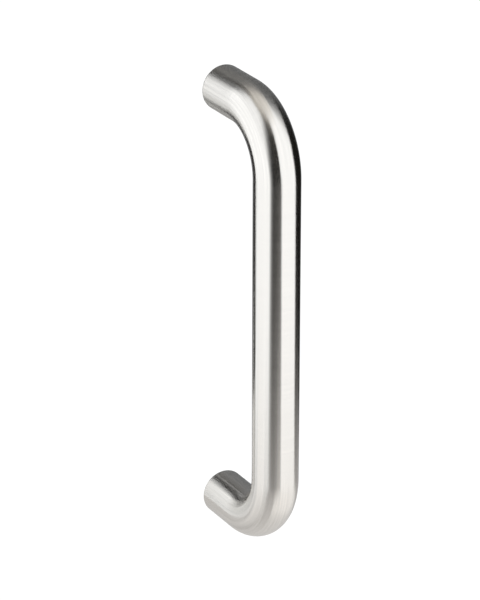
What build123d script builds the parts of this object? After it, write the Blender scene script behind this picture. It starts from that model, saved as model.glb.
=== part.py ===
from build123d import *
import os

# A straight D-shaped pull handle, bent from round stainless tube and fixed from behind.
# Sizes are in millimetres. The grip stands along Z, the door's face is the plane y = 0,
# the handle stands out towards -Y, and the origin is midway between the two fixings.

# The tube and its route
TUBE_DIAMETER = 32.0
TUBE_WALL = 1.5
FIXING_CENTRES = 300.0    # from one tapped hole to the other
GRIP_STAND_OFF = 73.0     # from the door's face to the grip's centreline
BEND_RADIUS = 42.0        # at the tube's centreline
RIM_CHAMFER = 0.4         # takes the burr off each square-cut end

# The turned plug that closes each end of the tube and takes the fixing bolt
INSERT_LENGTH = 25.0
INSERT_RECESS = 0.5       # the rim alone bears on the door
INSERT_EDGE_CHAMFER = 0.5
INSERT_LEAD_IN = 1.5      # starts the plug squarely in the tube
TAP_DRILL_DIAMETER = 6.8  # an M8 coarse thread is cut in this hole
HOLE_MOUTH_CHAMFER = 0.7  # leads the bolt in and clears the thread's first turn

TUBE_RADIUS = TUBE_DIAMETER / 2
BORE_RADIUS = TUBE_RADIUS - TUBE_WALL
HALF_CENTRES = FIXING_CENTRES / 2


def centreline():
    """The tube's route: out from the door, down the grip and back to the door."""
    return FilletPolyline(
        (0, 0, HALF_CENTRES),
        (0, -GRIP_STAND_OFF, HALF_CENTRES),
        (0, -GRIP_STAND_OFF, -HALF_CENTRES),
        (0, 0, -HALF_CENTRES),
        radius=BEND_RADIUS,
    )


def tube_section():
    """The tube's ring-shaped section, flat on the XY plane."""
    return Circle(TUBE_RADIUS) - Circle(BORE_RADIUS)


def grip_tube():
    """One length of tube with a bend near each end, cut square where it meets the door."""
    route = centreline()
    start = Plane(route @ 0, z_dir=route % 0)
    tube = sweep(start * tube_section(), path=route)
    cut_ends = tube.faces().filter_by(GeomType.PLANE)
    rims = [edge for end in cut_ends for edge in end.outer_wire().edges()]
    return chamfer(rims, RIM_CHAMFER)


def threaded_insert():
    """The turned plug, lying along Y with its outer face just behind the rim at y = 0."""
    hole = TAP_DRILL_DIAMETER / 2
    front = -INSERT_RECESS
    back = front - INSERT_LENGTH
    half_section = Polyline(
        (hole + HOLE_MOUTH_CHAMFER, front),
        (BORE_RADIUS - INSERT_EDGE_CHAMFER, front),
        (BORE_RADIUS, front - INSERT_EDGE_CHAMFER),
        (BORE_RADIUS, back + INSERT_LEAD_IN),
        (BORE_RADIUS - INSERT_LEAD_IN / 2, back),
        (hole + HOLE_MOUTH_CHAMFER, back),
        (hole, back + HOLE_MOUTH_CHAMFER),
        (hole, front - HOLE_MOUTH_CHAMFER),
        close=True,
    )
    return revolve(make_face(half_section), axis=Axis.Y)


def build():
    """Every piece of the handle, by the name of its node."""
    insert = threaded_insert()
    return {
        "grip_tube": grip_tube(),
        "upper_threaded_insert": Pos(0, 0, HALF_CENTRES) * insert,
        "lower_threaded_insert": Pos(0, 0, -HALF_CENTRES) * insert,
    }


os.makedirs("parts", exist_ok=True)
for node, solid in build().items():
    export_step(solid, f"parts/{node}.step")
    print(f"{node}: {solid.volume:.1f} mm3, {solid.bounding_box().size}")

developed_length = centreline().length
print(f"Tube before bending: {developed_length:.2f} mm long")
print(f"Its section times that length: {tube_section().area * developed_length:.1f} mm3")
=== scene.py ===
# %% [markdown]
# # A straight pull handle in satin stainless steel
# The real handle is one length of round tube with a bend near each end. A belt that ran round the tube
# left it with a satin grain, and a turned plug in each end takes a fixing bolt from behind. This lesson
# starts from the measured model, models each piece again with a smooth surface, gives it its finish and
# lights it as a studio would.

# %% Load the measured handle
import math

import bmesh
import bpy
from mathutils import Matrix, Vector


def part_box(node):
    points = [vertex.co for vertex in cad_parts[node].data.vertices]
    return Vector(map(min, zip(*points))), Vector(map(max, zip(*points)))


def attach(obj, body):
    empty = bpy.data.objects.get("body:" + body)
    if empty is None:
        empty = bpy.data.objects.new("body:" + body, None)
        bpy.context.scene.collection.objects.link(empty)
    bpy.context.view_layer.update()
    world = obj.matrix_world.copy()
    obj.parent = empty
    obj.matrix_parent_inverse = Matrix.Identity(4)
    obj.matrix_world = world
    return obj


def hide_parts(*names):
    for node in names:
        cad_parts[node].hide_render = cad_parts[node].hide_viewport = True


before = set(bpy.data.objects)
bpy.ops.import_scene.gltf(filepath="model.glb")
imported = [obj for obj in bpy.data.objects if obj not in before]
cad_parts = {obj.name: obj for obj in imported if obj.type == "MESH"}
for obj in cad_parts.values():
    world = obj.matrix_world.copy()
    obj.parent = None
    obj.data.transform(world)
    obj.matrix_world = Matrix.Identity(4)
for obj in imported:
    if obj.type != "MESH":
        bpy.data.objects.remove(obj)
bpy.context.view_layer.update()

print("measured pieces:", ", ".join(sorted(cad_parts)))

# %% [markdown]
# ## The sizes
# Every size is in metres. The boxes of the measured pieces give the tube's radius, its wall, its reach
# and the distance between the two legs. Only the bend radius doesn't show in a box, so it is written
# here. The handle stands along Z, and the door's face is the plane y = 0.

# %% Read the sizes from the measured pieces
MM = 1000
tube_low, tube_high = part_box("grip_tube")
plug_low, plug_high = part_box("upper_threaded_insert")
tube_radius = (tube_high.x - tube_low.x) / 2
bore_radius = (plug_high.x - plug_low.x) / 2
tube_wall = tube_radius - bore_radius
stand_off = -tube_low.y - tube_radius
half_centres = tube_high.z - tube_radius
bend_radius = 0.042
leg = stand_off - bend_radius
half_grip = half_centres - bend_radius
print(f"tube {2 * tube_radius * MM:.1f} mm across, wall {tube_wall * MM:.2f} mm")
print(f"legs {2 * half_centres * MM:.0f} mm apart, grip {stand_off * MM:.0f} mm from the door")

# %% [markdown]
# ## The bent tube
# A tube bender draws one straight tube round a former, twice. The same thing can be done to a ring of
# vertices: extrude it along the leg, spin it round the bend's centre, extrude it down the grip, then spin
# and extrude again. A curve with a round bevel would be quicker, but spin keeps every ring exactly square
# to the tube and puts the bends exactly on the measured radius. A first and a last extrude of about a
# millimetre keep the rims' shading near the rims. Solidify then gives the skin its wall, inwards.

# %% A helper that leaves nothing selected
def start_clean():
    """An operator acts on all that is selected, so nothing stays selected from before."""
    bpy.ops.object.select_all(action="DESELECT")


# %% Draw the ring along the handle's route
RING_VERTICES = 128
BEND_STEPS = 40
LEG_STEPS = 6
GRIP_STEPS = 24
RIM_BAND = 0.0011
SAME_PLACE = 1e-6
QUARTER_TURN = math.pi / 2


def extrude_run(move, steps):
    """Extrude the selected ring along a straight run, in steps that keep a bend's shading near it."""
    step = Vector(move) / steps
    for _ in range(steps):
        bpy.ops.mesh.extrude_region_move(TRANSFORM_OT_translate={"value": step})


def spin_bend(centre_height):
    """Spin the selected ring a quarter turn round the inside of a bend."""
    centre = (0, -leg, centre_height)
    bpy.ops.mesh.spin(steps=BEND_STEPS, angle=QUARTER_TURN, center=centre, axis=(-1, 0, 0))


start_clean()
bpy.ops.mesh.primitive_circle_add(
    vertices=RING_VERTICES,
    radius=tube_radius,
    fill_type="NOTHING",
    location=(0, 0, half_centres),
    rotation=(QUARTER_TURN, 0, 0),
)
tube = bpy.context.object
tube.name = "satin_grip_tube"
bpy.ops.object.transform_apply(location=True, rotation=True, scale=True)
bpy.ops.object.mode_set(mode="EDIT")
bpy.ops.mesh.select_all(action="SELECT")
extrude_run((0, -RIM_BAND, 0), 1)
extrude_run((0, RIM_BAND - leg, 0), LEG_STEPS)
spin_bend(half_grip)
extrude_run((0, 0, -2 * half_grip), GRIP_STEPS)
spin_bend(-half_grip)
extrude_run((0, leg - RIM_BAND, 0), LEG_STEPS)
extrude_run((0, RIM_BAND, 0), 1)
bpy.ops.mesh.select_all(action="SELECT")
bpy.ops.mesh.remove_doubles(threshold=SAME_PLACE)
bpy.ops.mesh.normals_make_consistent(inside=False)
bpy.ops.object.mode_set(mode="OBJECT")
tube_size = [round(s, 4) for s in tube.dimensions]
print("skin of the tube:", len(tube.data.polygons), "faces, size", tube_size)


# %% Give the tube its wall
def finish_with(piece, name, kind, **settings):
    """Add one modifier with its settings and apply it."""
    modifier = piece.modifiers.new(name, kind)
    for setting, value in settings.items():
        setattr(modifier, setting, value)
    bpy.context.view_layer.objects.active = piece
    bpy.ops.object.modifier_apply(modifier=modifier.name)


finish_with(tube, "wall", "SOLIDIFY", thickness=tube_wall, offset=-1, use_even_offset=True)
print("tube with its wall:", len(tube.data.polygons), "faces")

# %% [markdown]
# ## The rims
# The saw leaves a square end with a burr, and a fitter takes the burr off with a file or a belt, which
# rounds the outer edge by a few tenths of a millimetre. It is tiny, but it draws the thin line that ends
# the tube in any picture. Bevel with three segments makes it from the two outer rim edges, which are
# picked by their place: on the door's face and a full radius from the leg's axis. The rim's rounding is
# then smooth, and the line where it meets the flat sawn face is marked sharp, so that the flat face still
# shades as flat.

# %% Pick edges by their place and round the rims
RIM_ROUNDING = 0.0004
RIM_SEGMENTS = 3
NEAR = 1e-5
SMOOTH_BELOW = math.radians(35)


def pick_edges(piece, wanted):
    """In edit mode, select just those edges of the piece that pass the test, and count them."""
    bpy.ops.mesh.select_mode(type="EDGE")
    bpy.ops.mesh.select_all(action="DESELECT")
    mesh = bmesh.from_edit_mesh(piece.data)
    for edge in mesh.edges:
        edge.select_set(wanted(edge))
    bmesh.update_edit_mesh(piece.data)
    return sum(edge.select for edge in mesh.edges)


def on_cut_end(edge, radius):
    """Is an edge on one of the tube's two cut ends, all of it at this radius from the leg's axis?"""
    for vertex in edge.verts:
        from_axis = math.hypot(vertex.co.x, abs(vertex.co.z) - half_centres)
        if abs(vertex.co.y) > NEAR or abs(from_axis - radius) > NEAR:
            return False
    return True


bpy.ops.object.mode_set(mode="EDIT")
rounded = pick_edges(tube, lambda edge: on_cut_end(edge, tube_radius))
bpy.ops.mesh.bevel(offset=RIM_ROUNDING, segments=RIM_SEGMENTS)
bpy.ops.object.mode_set(mode="OBJECT")
bpy.ops.object.shade_smooth_by_angle(angle=SMOOTH_BELOW)
bpy.ops.object.mode_set(mode="EDIT")
kept_sharp = pick_edges(tube, lambda edge: on_cut_end(edge, tube_radius - RIM_ROUNDING))
bpy.ops.mesh.mark_sharp()
bpy.ops.object.mode_set(mode="OBJECT")
print("rim edges rounded:", rounded, "and kept sharp inside:", kept_sharp, "of", 2 * RING_VERTICES)

# %% [markdown]
# ## The turned plugs
# The plug that closes each end comes off a lathe: a short bar with its edges broken, drilled through and
# tapped M8 for the fixing bolt. A lathe turns a profile round an axis, and here one ring is extruded from
# each corner of the profile to the next and scaled where the radius changes. Spinning a drawn profile
# would give the same shape, but this way each ring is placed by its radius and depth, as on a turner's
# drawing.

# %% The plug's profile, as (radius, depth) corners
EDGE_BREAK = 0.0005
LEAD_IN = 0.0015
DRILLED_RADIUS = 0.0034
MOUTH = 0.0007
front = plug_high.y
back = plug_low.y
plug_profile = [
    (bore_radius - EDGE_BREAK, front),
    (bore_radius, front - EDGE_BREAK),
    (bore_radius, back + LEAD_IN),
    (bore_radius - LEAD_IN / 2, back),
    (DRILLED_RADIUS + MOUTH, back),
    (DRILLED_RADIUS, back + MOUTH),
    (DRILLED_RADIUS, front - MOUTH),
    (DRILLED_RADIUS + MOUTH, front),
]
print(f"plug {(front - back) * MM:.0f} mm long, its face {-front * MM:.1f} mm behind the rim")


# %% Turn one plug
def turn_on_lathe(name, profile, height):
    """Take one ring through the corners of a closed profile, round an axis along Y at a height."""
    radius, depth = profile[-1]
    start_clean()
    bpy.ops.mesh.primitive_circle_add(
        vertices=RING_VERTICES,
        radius=radius,
        fill_type="NOTHING",
        location=(0, depth, height),
        rotation=(QUARTER_TURN, 0, 0),
    )
    piece = bpy.context.object
    piece.name = name
    bpy.ops.object.transform_apply(location=True, rotation=True, scale=True)
    bpy.ops.object.mode_set(mode="EDIT")
    bpy.ops.mesh.select_all(action="SELECT")
    for next_radius, next_depth in profile:
        growth = next_radius / radius
        step = (0, next_depth - depth, 0)
        bpy.ops.mesh.extrude_region_move(TRANSFORM_OT_translate={"value": step})
        bpy.ops.transform.resize(value=(growth, 1, growth), center_override=(0, next_depth, height))
        radius, depth = next_radius, next_depth
    bpy.ops.mesh.select_all(action="SELECT")
    bpy.ops.mesh.remove_doubles(threshold=SAME_PLACE)
    bpy.ops.mesh.normals_make_consistent(inside=False)
    bpy.ops.object.mode_set(mode="OBJECT")
    return piece


upper_plug = turn_on_lathe("upper_turned_plug", plug_profile, half_centres)
plug_size = [round(s, 4) for s in upper_plug.dimensions]
print("plug:", len(upper_plug.data.polygons), "faces, size", plug_size)

# %% [markdown]
# ## The thread
# A tap cuts the thread, so the model cuts it with one too. A tooth of the tap is drawn as a line, the
# Screw modifier winds the line up into the whole tap, and Boolean takes the tap away from the plug. Each
# turn is only laid beside the next, so the turns are merged and the ends closed before the cut. A bump
# pattern would be lighter, but a cut groove looks right from every side and stays in the mesh.

# %% Draw one tooth and wind it up into a tap
PITCH = 0.00125
THREAD_RADIUS = 0.004
TAP_ROOT = 0.0033
CREST_FLAT = PITCH / 8
STEPS_A_TURN = 64
TURNS_BEYOND = 2
tap_turns = math.ceil((front - back) / PITCH) + 2 * TURNS_BEYOND
flank_run = (PITCH - CREST_FLAT) / 2
tooth_lines = [
    (THREAD_RADIUS - TAP_ROOT, 0, flank_run),
    (0, 0, CREST_FLAT),
    (TAP_ROOT - THREAD_RADIUS, 0, flank_run),
]
start_clean()
bpy.ops.mesh.primitive_plane_add(size=PITCH, location=(TAP_ROOT, 0, 0))
tap = bpy.context.object
tap.name = "tap"
bpy.ops.object.transform_apply(location=True, rotation=True, scale=True)
bpy.ops.object.mode_set(mode="EDIT")
bpy.ops.mesh.select_mode(type="VERT")
bpy.ops.mesh.select_all(action="SELECT")
bpy.ops.mesh.merge(type="CENTER")
for line in tooth_lines:
    bpy.ops.mesh.extrude_region_move(TRANSFORM_OT_translate={"value": line})
bpy.ops.object.mode_set(mode="OBJECT")
finish_with(
    tap,
    "winding",
    "SCREW",
    angle=2 * math.pi,
    screw_offset=PITCH,
    iterations=tap_turns,
    steps=STEPS_A_TURN,
    render_steps=STEPS_A_TURN,
)
tap_size = [round(s, 4) for s in tap.dimensions]
print("tap:", tap_turns, "turns,", len(tap.data.polygons), "faces, size", tap_size)


# %% Join the tap's turns and close its two ends
def open_edge(edge, lower):
    """Is an edge on the open end of the tap, at its lower or its upper end?"""
    middle = (edge.verts[0].co.z + edge.verts[1].co.z) / 2
    return edge.is_boundary and (middle < tap_turns * PITCH / 2) == lower


bpy.ops.object.mode_set(mode="EDIT")
bpy.ops.mesh.select_all(action="SELECT")
bpy.ops.mesh.remove_doubles(threshold=SAME_PLACE)
for lower, past_the_end in ((True, -PITCH), (False, PITCH)):
    pick_edges(tap, lambda edge: open_edge(edge, lower))
    bpy.ops.mesh.extrude_region_move(TRANSFORM_OT_translate={"value": (0, 0, past_the_end)})
    bpy.ops.mesh.select_mode(type="VERT")
    bpy.ops.mesh.merge(type="CENTER")
bpy.ops.mesh.select_all(action="SELECT")
bpy.ops.mesh.normals_make_consistent(inside=False)
bpy.ops.object.mode_set(mode="OBJECT")


# %% Run the tap through the plug
def open_edges(piece):
    """How many edges of a piece don't join exactly two faces?"""
    mesh = bmesh.new()
    mesh.from_mesh(piece.data)
    count = sum(not edge.is_manifold for edge in mesh.edges)
    mesh.free()
    return count


PLUG_SMOOTH_BELOW = math.radians(30)
print("tap:", open_edges(tap), "open edges")
tap.location = (0, front + TURNS_BEYOND * PITCH, half_centres)
tap.rotation_euler = (QUARTER_TURN, 0, 0)
bpy.ops.object.transform_apply(location=True, rotation=True, scale=True)
finish_with(upper_plug, "thread", "BOOLEAN", operation="DIFFERENCE", solver="EXACT", object=tap)
bpy.data.objects.remove(tap)
start_clean()
upper_plug.select_set(True)
bpy.ops.object.shade_smooth_by_angle(angle=PLUG_SMOOTH_BELOW)
print("tapped plug:", len(upper_plug.data.polygons), "faces,", open_edges(upper_plug), "open edges")
print("tube:", len(tube.data.polygons), "faces,", open_edges(tube), "open edges")

# %% [markdown]
# ## The grain's own coordinates
# The grain follows the tube round its bends, so no pattern in straight space fits it. Each point instead
# gets the place that it had before the tube was bent: how far along the tube it lies, and its two offsets
# across it. These go into an attribute that the grain's noise reads, with no seam. A UV map holds the
# same thing unrolled, because the highlight's direction is taken from a UV map: U runs along the tube,
# across the grain.

# %% Work out where each point lay before bending
bend_length = bend_radius * QUARTER_TURN
tube_length = 2 * (leg + bend_length + half_grip)


def straightened(point):
    """(side, outward, along): a point of the bent tube, moved to where it was on the straight tube."""
    reach, height = -point.y, abs(point.z)
    if reach >= leg and height >= half_grip:
        turn = math.atan2(reach - leg, height - half_grip)
        outward = math.hypot(reach - leg, height - half_grip) - bend_radius
        along = leg + bend_radius * turn
    elif height >= half_grip:
        outward = height - half_centres
        along = reach
    else:
        outward = reach - stand_off
        along = leg + bend_length + half_grip - height
    return Vector((point.x, outward, along if point.z >= 0 else tube_length - along))


print(f"tube before bending: {tube_length * MM:.1f} mm long")


# %% Store the straight place and unroll it into a UV map
def unroll(piece, place):
    """Write place(point) to an attribute, and its length and girth to a UV map with U across the grain."""
    mesh = piece.data
    straight = mesh.attributes.new("straight", "FLOAT_VECTOR", "POINT")
    places = [place(vertex.co) for vertex in mesh.vertices]
    straight.data.foreach_set("vector", [value for p in places for value in p])
    unrolled = mesh.uv_layers.new(name="unrolled")
    for face in mesh.polygons:
        centre = place(face.center)
        middle = math.atan2(centre.x, centre.y)
        for corner in face.loop_indices:
            p = places[mesh.loops[corner].vertex_index]
            turn = math.remainder(math.atan2(p.x, p.y) - middle, 2 * math.pi)
            unrolled.data[corner].uv = (p.z, (middle + turn) * tube_radius)
    print(piece.name, "unrolled:", len(mesh.polygons), "faces")


unroll(tube, straightened)

# %% [markdown]
# ## The satin finish
# Satin stainless isn't blurred evenly. Each fine scratch of the belt runs round the tube, so a reflection
# stays sharp round the tube and smears along it, which is why the grip shows long clean stripes. One even
# roughness would blur those stripes away. The shader's anisotropy keeps them, with its tangent along the
# tube. Fine noise on the straightened coordinates adds the scratches themselves, as bump and as small
# changes of roughness and colour. The belt reaches the short legs and the bends less well, so the marks
# of the drawn tube still show there, and they run lengthwise. A second noise, stretched the other way,
# adds them, and fades out before the grip. The two sawn ends have straight saw marks instead.

# %% Helpers for material nodes
NOISE_MIDDLE = (0.3, 0.7)
BASE = "Base Color"
ROUGHNESS = "Roughness"
SPECULAR = "Specular IOR Level"
EMISSION = "Emission Color"
EMISSION_STRENGTH = "Emission Strength"


def new_material(name):
    """A material with its node tree, its main shader and a function that adds nodes."""
    material = bpy.data.materials.new(name)
    material.use_nodes = True
    tree = material.node_tree
    shader = tree.nodes["Principled BSDF"]

    def add(kind, **settings):
        node = tree.nodes.new(kind)
        for setting, value in settings.items():
            setattr(node, setting, value)
        return node

    return material, tree, shader, add


def stretched_noise(tree, add, source, stretch, detail=2.0):
    """Noise on a source vector; the stretch is how often it changes in a metre, in each direction."""
    mapping = add("ShaderNodeMapping", vector_type="POINT")
    mapping.inputs["Scale"].default_value = stretch
    noise = add("ShaderNodeTexNoise")
    noise.inputs["Scale"].default_value = 1.0
    noise.inputs["Detail"].default_value = detail
    tree.links.new(source, mapping.inputs["Vector"])
    tree.links.new(mapping.outputs["Vector"], noise.inputs["Vector"])
    return noise.outputs["Fac"]


def remap(tree, add, source, low, high, span=NOISE_MIDDLE, **settings):
    """Spread a span of the source over the values from low to high."""
    ramp = add("ShaderNodeMapRange", **settings)
    ramp.inputs["From Min"].default_value = span[0]
    ramp.inputs["From Max"].default_value = span[1]
    ramp.inputs["To Min"].default_value = low
    ramp.inputs["To Max"].default_value = high
    tree.links.new(source, ramp.inputs["Value"])
    return ramp.outputs["Result"]


def between(add, colour, darker, lighter):
    """A mix of one colour's darker and lighter shade, each a share of it."""
    mix = add("ShaderNodeMix", data_type="RGBA")
    mix.inputs["A"].default_value = (*[c * darker for c in colour], 1)
    mix.inputs["B"].default_value = (*[c * lighter for c in colour], 1)
    return mix


def bumped(tree, add, height, strength, depth, under=None):
    """A bump of some depth in metres, by the noise's height, over another bump where one is given."""
    bump = add("ShaderNodeBump")
    bump.inputs["Strength"].default_value = strength
    bump.inputs["Distance"].default_value = depth
    tree.links.new(height, bump.inputs["Height"])
    if under is not None:
        tree.links.new(under.outputs["Normal"], bump.inputs["Normal"])
    return bump


def brush(tree, shader, add, anisotropy):
    """Make the shader a metal whose highlight spreads along U of the unrolled map."""
    tangent = add("ShaderNodeTangent", direction_type="UV_MAP", uv_map="unrolled")
    tree.links.new(tangent.outputs["Tangent"], shader.inputs["Tangent"])
    shader.inputs["Metallic"].default_value = 1.0
    shader.inputs["Anisotropic"].default_value = anisotropy


# %% Which part of the tube a point is on
FADE = 0.03
BEND_CHANGE = (half_grip - FADE, half_grip + FADE)
CUT_CHANGE = (tube_length / 2 - RIM_ROUNDING, tube_length / 2)


def from_the_middle(tree, add, straight):
    """How far along the tube a point is from its middle."""
    along = add("ShaderNodeSeparateXYZ")
    offset = add("ShaderNodeMath", operation="SUBTRACT")
    offset.inputs[1].default_value = tube_length / 2
    distance = add("ShaderNodeMath", operation="ABSOLUTE")
    tree.links.new(straight, along.inputs["Vector"])
    tree.links.new(along.outputs["Z"], offset.inputs[0])
    tree.links.new(offset.outputs["Value"], distance.inputs[0])
    return distance.outputs["Value"]


def mixed(tree, add, share, first, second=None):
    """A number that runs from the first to the second, or to nothing, by a share from 0 to 1."""
    mix = add("ShaderNodeMix", data_type="FLOAT")
    mix.inputs["B"].default_value = 0
    tree.links.new(share, mix.inputs["Factor"])
    tree.links.new(first, mix.inputs["A"])
    if second is not None:
        tree.links.new(second, mix.inputs["B"])
    return mix.outputs["Result"]


print("the grip runs into the bends", [round(d, 3) for d in BEND_CHANGE], "m from the tube's middle")


# %% Make the satin stainless
STEEL_COLOUR = (0.74, 0.70, 0.64)
SATIN_SHADES = (0.95, 1.05)
SATIN_ROUGHNESS = (0.19, 0.25)
HAIRLINES = (40, 40, 9000)
STREAKS = (9, 9, 1900)
DRAWING_MARKS = (900, 900, 18)
SAW_MARKS = (5000, 90, 90)
HAIRLINE_DEPTH = 3.5e-6
HAIRLINE_STRENGTH = 0.5
DRAWING_MARK_DEPTH = 4e-5
DRAWING_MARK_STRENGTH = 1.0
SATIN_ANISOTROPY = 1.0


def satin_stainless():
    """Stainless tube with a belt-ground grain round it, and lengthwise drawing marks off the grip."""
    material, tree, shader, add = new_material("satin_stainless")
    straight = add("ShaderNodeAttribute", attribute_name="straight").outputs["Vector"]
    hairlines = stretched_noise(tree, add, straight, HAIRLINES)
    streaks = stretched_noise(tree, add, straight, STREAKS)
    drawing_marks = stretched_noise(tree, add, straight, DRAWING_MARKS)
    saw_marks = stretched_noise(tree, add, straight, SAW_MARKS)
    distance = from_the_middle(tree, add, straight)
    on_legs = remap(tree, add, distance, 0, 1, span=BEND_CHANGE, interpolation_type="SMOOTHSTEP")
    on_cut = remap(tree, add, distance, 0, 1, span=CUT_CHANGE)

    across = remap(tree, add, streaks, 0, 1)
    lengthwise = remap(tree, add, drawing_marks, 0, 1)
    colour = between(add, STEEL_COLOUR, *SATIN_SHADES)
    tree.links.new(mixed(tree, add, on_legs, across, lengthwise), colour.inputs["Factor"])
    tree.links.new(colour.outputs["Result"], shader.inputs[BASE])
    tree.links.new(remap(tree, add, streaks, *SATIN_ROUGHNESS), shader.inputs[ROUGHNESS])

    drawn = bumped(tree, add, drawing_marks, DRAWING_MARK_STRENGTH, DRAWING_MARK_DEPTH)
    tree.links.new(mixed(tree, add, on_cut, on_legs), drawn.inputs["Strength"])
    scratches = mixed(tree, add, on_cut, hairlines, saw_marks)
    ground = bumped(tree, add, scratches, HAIRLINE_STRENGTH, HAIRLINE_DEPTH, under=drawn)
    tree.links.new(ground.outputs["Normal"], shader.inputs["Normal"])
    brush(tree, shader, add, SATIN_ANISOTROPY)
    return material


satin = satin_stainless()
tube.data.materials.append(satin)
print("satin stainless:", len(satin.node_tree.nodes), "nodes")

# %% [markdown]
# ## The turned finish
# A lathe tool leaves a fine spiral, which reads as rings: round the hole on the plug's face, and round
# the axis on its sides and in its thread. One number that grows across the rings, radius less depth,
# serves all of these surfaces, so the plug can be unrolled by the same helper as the tube.

# %% Unroll the plug
def turned(point):
    """(across, up, feed): the place round the plug's axis, and how far the tool had come."""
    up = point.z - half_centres
    return Vector((point.x, up, math.hypot(point.x, up) - point.y))


unroll(upper_plug, turned)

# %% Make the turned stainless
TURNED_SHADES = (0.90, 1.02)
TURNED_ROUGHNESS = (0.24, 0.34)
TOOL_RINGS = (20, 20, 7000)
TOOL_BANDS = (60, 60, 900)
RING_DEPTH = 8e-6
RING_STRENGTH = 0.6
TURNED_ANISOTROPY = 0.7


def turned_stainless():
    """Stainless bar as it leaves the lathe, with fine rings."""
    material, tree, shader, add = new_material("turned_stainless")
    straight = add("ShaderNodeAttribute", attribute_name="straight").outputs["Vector"]
    rings = stretched_noise(tree, add, straight, TOOL_RINGS)
    bands = stretched_noise(tree, add, straight, TOOL_BANDS, detail=1.0)

    colour = between(add, STEEL_COLOUR, *TURNED_SHADES)
    tree.links.new(remap(tree, add, bands, 0, 1), colour.inputs["Factor"])
    tree.links.new(colour.outputs["Result"], shader.inputs[BASE])
    tree.links.new(remap(tree, add, bands, *TURNED_ROUGHNESS), shader.inputs[ROUGHNESS])
    bump = bumped(tree, add, rings, RING_STRENGTH, RING_DEPTH)
    tree.links.new(bump.outputs["Normal"], shader.inputs["Normal"])
    brush(tree, shader, add, TURNED_ANISOTROPY)
    return material


turned_steel = turned_stainless()
upper_plug.data.materials.append(turned_steel)
print("turned stainless:", len(turned_steel.node_tree.nodes), "nodes")

# %% [markdown]
# ## The second plug
# Both plugs come off the same lathe, so the lower one is a copy of the upper one, with a mesh of its own,
# moved down by the distance between the legs.

# %% Copy the plug to the lower leg
start_clean()
upper_plug.select_set(True)
bpy.context.view_layer.objects.active = upper_plug
bpy.ops.object.duplicate(linked=False)
lower_plug = bpy.context.object
lower_plug.name = "lower_turned_plug"
lower_plug.location = (0, 0, -2 * half_centres)
bpy.ops.object.transform_apply(location=True, rotation=True, scale=True)
for plug in (upper_plug, lower_plug):
    heights = [vertex.co.z for vertex in plug.data.vertices]
    print(plug.name, "at height", round(sum(heights) / len(heights), 3))

# %% [markdown]
# ## The handle as one body
# Each new piece stands for one measured piece and rides on the handle's one body, because nothing on a
# pull handle moves.

# %% Put the pieces on the handle's body
for piece, node, slot in (
    (tube, "grip_tube", "satin_stainless_tube"),
    (upper_plug, "upper_threaded_insert", "turned_stainless"),
    (lower_plug, "lower_threaded_insert", "turned_stainless"),
):
    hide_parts(node)
    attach(piece, "root")
    print(piece.name, "stands for", node)

# %% [markdown]
# ## The camera
# The picture is taken from the front left and a little above, from about two metres with a long lens,
# which keeps the grip's two sides nearly parallel. The camera is aimed by two angles round the handle,
# because these are what can be read from the handle's shape.

# %% Aim the camera
CAMERA_AZIMUTH = -29.17
CAMERA_ELEVATION = 22.81
CAMERA_ROLL = 0.09
CAMERA_DISTANCE = 2.1885
AIM = Vector((0, -0.0235, 0.0045))
LENS = 193.3
FRAME_HEIGHT = 36.0
UPRIGHT = 90


def direction(azimuth, elevation):
    """The unit vector at two angles in degrees from the handle; azimuth 0 is straight in front."""
    a = math.radians(azimuth)
    e = math.radians(elevation)
    return Vector((math.sin(a) * math.cos(e), -math.cos(a) * math.cos(e), math.sin(e)))


to_camera = direction(CAMERA_AZIMUTH, CAMERA_ELEVATION)
bpy.ops.object.camera_add(location=AIM + to_camera * CAMERA_DISTANCE)
camera = bpy.context.object
camera.rotation_euler = (
    Matrix.Rotation(math.radians(CAMERA_AZIMUTH), 3, "Z")
    @ Matrix.Rotation(math.radians(UPRIGHT - CAMERA_ELEVATION), 3, "X")
    @ Matrix.Rotation(math.radians(CAMERA_ROLL), 3, "Z")
).to_euler()
camera.data.sensor_fit = "VERTICAL"
camera.data.sensor_height = FRAME_HEIGHT
camera.data.lens = LENS
bpy.context.scene.camera = camera
print("camera at", [round(c, 3) for c in camera.location])

# %% [markdown]
# ## The floor and the background
# The floor is a plain pale sheet well below the handle, so the handle's soft shadow falls below the
# picture. It is painted a light colour, and a little glow of its own brings it up to plain white without
# more light on the handle. The world is white too, and lights everything evenly.

# %% Lay the floor
FLOOR_HEIGHT = -0.34
FLOOR_SIZE = 14.0
PAPER_COLOUR = (0.8, 0.8, 0.8, 1)
PAPER_ROUGHNESS = 0.9
PAPER_GLOW = 0.25
WHITE = (1, 1, 1, 1)
BLACK = (0, 0, 0, 1)
start_clean()
bpy.ops.mesh.primitive_plane_add(size=FLOOR_SIZE, location=(0, 0, FLOOR_HEIGHT))
floor = bpy.context.object
floor.name = "pale_floor"
paper, _, paper_shader, _ = new_material("pale_paper")
paper_shader.inputs[BASE].default_value = PAPER_COLOUR
paper_shader.inputs[ROUGHNESS].default_value = PAPER_ROUGHNESS
paper_shader.inputs[SPECULAR].default_value = 0
paper_shader.inputs[EMISSION].default_value = WHITE
paper_shader.inputs[EMISSION_STRENGTH].default_value = PAPER_GLOW
floor.data.materials.append(paper)
print("floor", FLOOR_SIZE, "m wide, at height", FLOOR_HEIGHT)

# %% Make the world white
WORLD_STRENGTH = 1.0
world = bpy.data.worlds.new("studio")
bpy.context.scene.world = world
world.use_nodes = True
background = world.node_tree.nodes["Background"]
background.inputs["Color"].default_value = WHITE
background.inputs["Strength"].default_value = WORLD_STRENGTH
print("world strength:", WORLD_STRENGTH)

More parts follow.
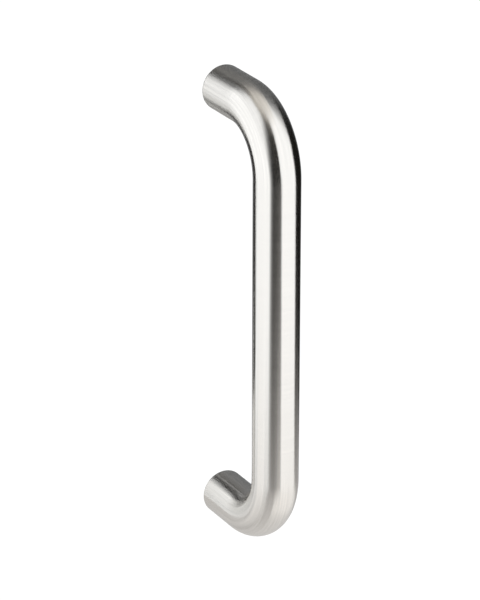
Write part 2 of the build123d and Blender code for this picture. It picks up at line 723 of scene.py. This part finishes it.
# %% [markdown]
# ## The studio
# Steel has hardly a look of its own: it shows what stands round it. A photographer therefore builds the
# picture out of softboxes, which give the bright stripes, and of black or grey flags, which give the dark
# ones and the edges. Lamps alone would leave the tube with thin highlights on grey. Here each softbox or
# flag is a flat card that glows by itself. Only reflections see the cards, so the plain white world still
# gives the even light, the shadow and the background. The upright cards stand in a ring of about half a
# metre round the handle. Their ends are given in degrees to the right of the camera's line, because the
# angle says where a card shows on the tube.

# %% Helpers that make the cards
STUDIO_CENTRE = Vector((0, -0.05, 0))
UP = Vector((0, 0, 1))


def glow(name, colour, strength):
    """A plain glowing material."""
    material, _, shader, _ = new_material(name)
    shader.inputs[BASE].default_value = BLACK
    shader.inputs[SPECULAR].default_value = 0
    shader.inputs[EMISSION].default_value = (*colour, 1)
    shader.inputs[EMISSION_STRENGTH].default_value = strength
    return material


def card(name, centre, facing, width, height, material):
    """A flat card that only reflections see, with its face turned to a point."""
    start_clean()
    bpy.ops.mesh.primitive_plane_add(size=1, location=centre)
    sheet = bpy.context.object
    sheet.name = name
    sheet.scale = (width, height, 1)
    sheet.rotation_euler = (Vector(facing) - Vector(centre)).to_track_quat("Z", "Y").to_euler()
    sheet.visible_camera = False
    sheet.visible_diffuse = False
    sheet.visible_shadow = False
    sheet.data.materials.append(material)
    return sheet


def stand(name, start, end, material, distance, bottom, top):
    """Stand an upright card that fills an arc, in degrees to the right of the camera's line."""
    half_arc = math.radians(end - start) / 2
    out = direction(CAMERA_AZIMUTH + (start + end) / 2, 0)
    axis_point = STUDIO_CENTRE + UP * (top + bottom) / 2
    width = 2 * distance * math.tan(half_arc)
    card(name, axis_point + out * distance, axis_point, width, top - bottom, material)


# %% [markdown]
# ### The two softboxes
# The softbox on the left is wide and lights the tube's left half. Its right edge is feathered, as a
# softbox fades at its rim, so that the bright stripe on the grip runs softly into the dark one. Its far
# end is brighter at the height of the upper leg and fades in steps towards the floor, as the lower leg's
# side does towards its underside. The softbox on the right lights the tube's right half. It starts a
# little further in higher up, where the dark stripe is narrower, and is brightest at the top, where the
# upper bend looks up at it.

# %% The softboxes' light
SOFTBOX_LIGHT = (1.0, 1.045, 1.11)
LOW_LIGHT = (1.0, 1.03, 1.05)
SOFT_STRENGTH = 1.31
FEATHER_POWER = 3.2
soft = glow("softbox", SOFTBOX_LIGHT, SOFT_STRENGTH)
crown = glow("crown_of_softbox", SOFTBOX_LIGHT, strength=1.47)
bright_end = glow("bright_end_of_softbox", SOFTBOX_LIGHT, strength=1.7)
foot_light = glow("foot_of_softbox", SOFTBOX_LIGHT, strength=1.5)
low_light = glow("weak_end_of_softbox", LOW_LIGHT, strength=0.75)
corner_light = glow("low_corner_of_softbox", LOW_LIGHT, strength=0.3)
low_rear_light = glow("low_rear_of_softbox", LOW_LIGHT, strength=1.0)
dim = glow("dim_softbox", SOFTBOX_LIGHT, strength=0.48)


def feathered_glow(name, colour, strength, power):
    """A glow that dies away towards the right side of its card, by a power of what is left of the width."""
    material, tree, shader, add = new_material(name)
    shader.inputs[BASE].default_value = BLACK
    shader.inputs[SPECULAR].default_value = 0
    shader.inputs[EMISSION].default_value = (*colour, 1)
    split = add("ShaderNodeSeparateXYZ")
    curve = add("ShaderNodeMath", operation="POWER")
    curve.inputs[1].default_value = power
    scale = add("ShaderNodeMath", operation="MULTIPLY")
    scale.inputs[1].default_value = strength
    tree.links.new(add("ShaderNodeUVMap").outputs["UV"], split.inputs["Vector"])
    tree.links.new(split.outputs["X"], curve.inputs[0])
    tree.links.new(curve.outputs["Value"], scale.inputs[0])
    tree.links.new(scale.outputs["Value"], shader.inputs[EMISSION_STRENGTH])
    return material


feather = feathered_glow("feathered_edge", SOFTBOX_LIGHT, SOFT_STRENGTH, FEATHER_POWER)
print("softbox strength", SOFT_STRENGTH)

# %% Stand the softboxes
# How far from the middle a card stands. A nearer card hides the one behind it.
REAR = 0.56
MAIN = 0.55
SECOND = 0.548
THIRD = 0.545
FOURTH = 0.54
FIFTH = 0.535
NEAREST = 0.53
# The heights of the cards' lower and upper edges, where nothing else is said.
FOOT = -0.338
TOP = 1.3
# Each row is a name, the two ends in degrees, the light, the distance, and the lower and upper edge.
left_softbox = [
    ("left_softbox_rear", -137, -79, soft, MAIN, FOOT, TOP),
    ("left_softbox_front", -79, -32.5, soft, MAIN, FOOT, TOP),
    ("left_softbox_edge", -32.5, -8, feather, MAIN, FOOT, 0.1),
    ("left_softbox_edge_above", -37, -12, feather, THIRD, 0.1, TOP),
    ("left_softbox_foot", -60, -33, foot_light, FOURTH, FOOT, -0.18),
    ("left_softbox_low_end", -137, -113, low_light, FIFTH, FOOT, -0.04),
    ("left_softbox_low_middle", -137, -124, low_rear_light, NEAREST, FOOT, -0.22),
    ("left_softbox_low_rear", -150, -137, low_rear_light, FOURTH, -0.31, -0.235),
    ("left_softbox_bright_end", -122, -104, bright_end, FOURTH, 0.17, 0.48),
    ("left_softbox_bright_end_low", -117, -104, bright_end, FOURTH, 0.08, 0.17),
    ("left_softbox_shoulder", -130, -120, low_light, FOURTH, -0.04, 0.15),
    ("left_softbox_low_corner", -123, -113, corner_light, NEAREST, -0.32, -0.165),
]
right_softbox = [
    ("right_softbox_inner", 21.5, 25.5, soft, MAIN, -0.145, TOP),
    ("right_softbox_inner_above", 17.5, 21.5, soft, MAIN, 0.04, TOP),
    ("right_softbox_front", 25.5, 55, soft, MAIN, FOOT, TOP),
    ("right_softbox_rear", 55, 90, soft, MAIN, FOOT, TOP),
    ("right_softbox_low_end", 90, 98, soft, MAIN, FOOT, -0.05),
    ("right_softbox_high_end", 90, 100, soft, MAIN, 0.25, TOP),
    ("right_softbox_fade", 100, 122, dim, MAIN, 0.45, TOP),
    ("right_softbox_crown", 22.5, 55, crown, FOURTH, 0.75, TOP),
    ("right_softbox_crown_rear", 55, 100, crown, FOURTH, 0.75, TOP),
]
for row in left_softbox + right_softbox:
    stand(*row)
print("softboxes made of", len(left_softbox + right_softbox), "cards")

# %% [markdown]
# ### The flags
# The black flag next to the camera's line gives the dark stripe down the middle of the grip. The flags
# behind the handle darken the tube's outer edges, where it turns away, and the tops of the legs. A narrow
# gap between two of them draws the fine light line along the lower leg. One small flag stands close
# behind the grip: it blackens the grip's left edge alone, because the legs look past it.

# %% Stand the flags
WARM_DARK = (1.0, 0.96, 0.90)
COOL_DARK = (0.96, 1.0, 1.06)
black = glow("black_flag", WARM_DARK, strength=0.01)
deep_grey = glow("deep_grey_flag", COOL_DARK, strength=0.12)
grey = glow("grey_flag", COOL_DARK, strength=0.22)
mid_grey = glow("mid_grey_flag", COOL_DARK, strength=0.32)
white_gap = glow("white_gap", COOL_DARK, strength=1.0)
GAP_FOOT = -0.1
GAP_TOP = 0.33
flags = [
    ("front_flag", -34, 25.5, black, REAR, FOOT, TOP),
    ("front_flag_above", -37, -12, black, SECOND, 0.1, TOP),
    ("right_back_flag", 90, 142, black, REAR, FOOT, TOP),
    ("right_back_flag_end", 142, 152, black, FOURTH, FOOT, 0.25),
    ("back_flag", 142, 214, grey, MAIN, FOOT, 0.25),
    ("back_flag_above", 142, 214, deep_grey, MAIN, 0.25, TOP),
    ("beside_the_gap", 201, 204.5, black, FOURTH, GAP_FOOT, GAP_TOP),
    ("back_gap", 204.5, 206, white_gap, FOURTH, GAP_FOOT, GAP_TOP),
    ("grey_reveal", 206, 214, mid_grey, FOURTH, GAP_FOOT, GAP_TOP),
    ("left_back_flag", 214, 223, black, MAIN, FOOT, TOP),
    ("left_middle_flag_foot", 223, 228, black, NEAREST, -0.22, -0.1),
    ("left_middle_flag", 223, 230, black, FOURTH, -0.04, 0.12),
    ("left_middle_flag_step", 223, 239, black, FIFTH, 0.12, 0.2),
    ("left_middle_flag_above", 223, 236, black, FIFTH, 0.2, 0.55),
    ("left_middle_flag_top", 223, 244, black, FIFTH, 0.55, TOP),
]
for row in flags:
    stand(*row)
NEAR_FLAG = Vector((-0.0535, 0.025, 0.007))
NEAR_FLAG_WIDTH = 0.047
NEAR_FLAG_HEIGHT = 0.186
near_flag_faces = NEAR_FLAG + Vector((0, -1, 0))
card("near_flag", NEAR_FLAG, near_flag_faces, NEAR_FLAG_WIDTH, NEAR_FLAG_HEIGHT, black)
print("flags:", len(flags) + 1)

# %% [markdown]
# ### The boards on the floor and the sheet overhead
# The undersides of the lower leg and bend look down, and boards that lie on the floor fill them with a soft
# light grey, brighter on the right. The boards glow by themselves and only reflections see them, so their
# glow is painted light and shade that stands in for the lit floor. A dimmer board at the front left is
# painted shade, which carries the grip's dark stripe on round the bend. A sheet overhead gives the brownish
# light on top of the upper bend. Boards are easier to place than lamps here, because each one shows just
# where its mirror image falls.

# %% Lay the boards and hang the sheet
PAPER_LIGHT = (1.005, 1.012, 1.038)
OVERHEAD_LIGHT = (1.0, 0.985, 0.96)
OVERHEAD_STRENGTH = 0.82
OVERHEAD_SIZE = 1.3


def lay(name, angle, near, far, width, strength, height):
    """Lay a card flat, along a line from the middle out at an angle to the camera's line."""
    out = direction(CAMERA_AZIMUTH + angle, 0)
    where = STUDIO_CENTRE + out * (near + far) / 2 + UP * height
    sheet = card(name, where, where + UP, far - near, width, glow(name, PAPER_LIGHT, strength))
    sheet.rotation_euler = (0, 0, math.atan2(out.y, out.x))


# Each row is a name, the angle, the near and the far end, the width, the strength and the height.
boards = [
    ("grey_board", 0, -0.7, 0.7, 1.4, 0.66, -0.337),
    ("front_left_board", -30, 0.10, 0.6, 0.5, 0.66, -0.336),
    ("front_board", -5, 0.38, 0.62, 0.34, 0.55, -0.335),
    ("front_right_board", 20, 0.12, 0.38, 0.14, 1.17, -0.334),
    ("front_right_far_board", 20, 0.38, 0.55, 0.17, 0.98, -0.334),
    # Painted shade: a dimmer glow where the floor that the lower bend reflects lies in shade.
    ("front_left_painted_shade", -42, 0.27, 0.49, 0.2, 0.42, -0.3345),
    ("right_board", 65, 0.12, 0.6, 0.6, 1.08, -0.333),
    ("left_board", -76, 0.36, 0.6, 0.3, 1.06, -0.334),
    ("left_near_board", -76, 0.15, 0.36, 0.3, 0.83, -0.334),
    ("under_board", 0, -0.12, 0.12, 0.24, 0.76, -0.3365),
]
# Painted light and shade: each board glows by itself in place of the lit floor in the reflections.
for row in boards:
    lay(*row)
overhead = glow("overhead_light", OVERHEAD_LIGHT, OVERHEAD_STRENGTH)
overhead_place = STUDIO_CENTRE + UP * TOP
card("overhead_sheet", overhead_place, STUDIO_CENTRE, OVERHEAD_SIZE, OVERHEAD_SIZE, overhead)
print("boards:", len(boards), "and one sheet overhead")

# %% [markdown]
# ## The last lines
# The plain view transform leaves the colours as they are.

# %% Set the view
bpy.context.scene.view_settings.view_transform = "Standard"
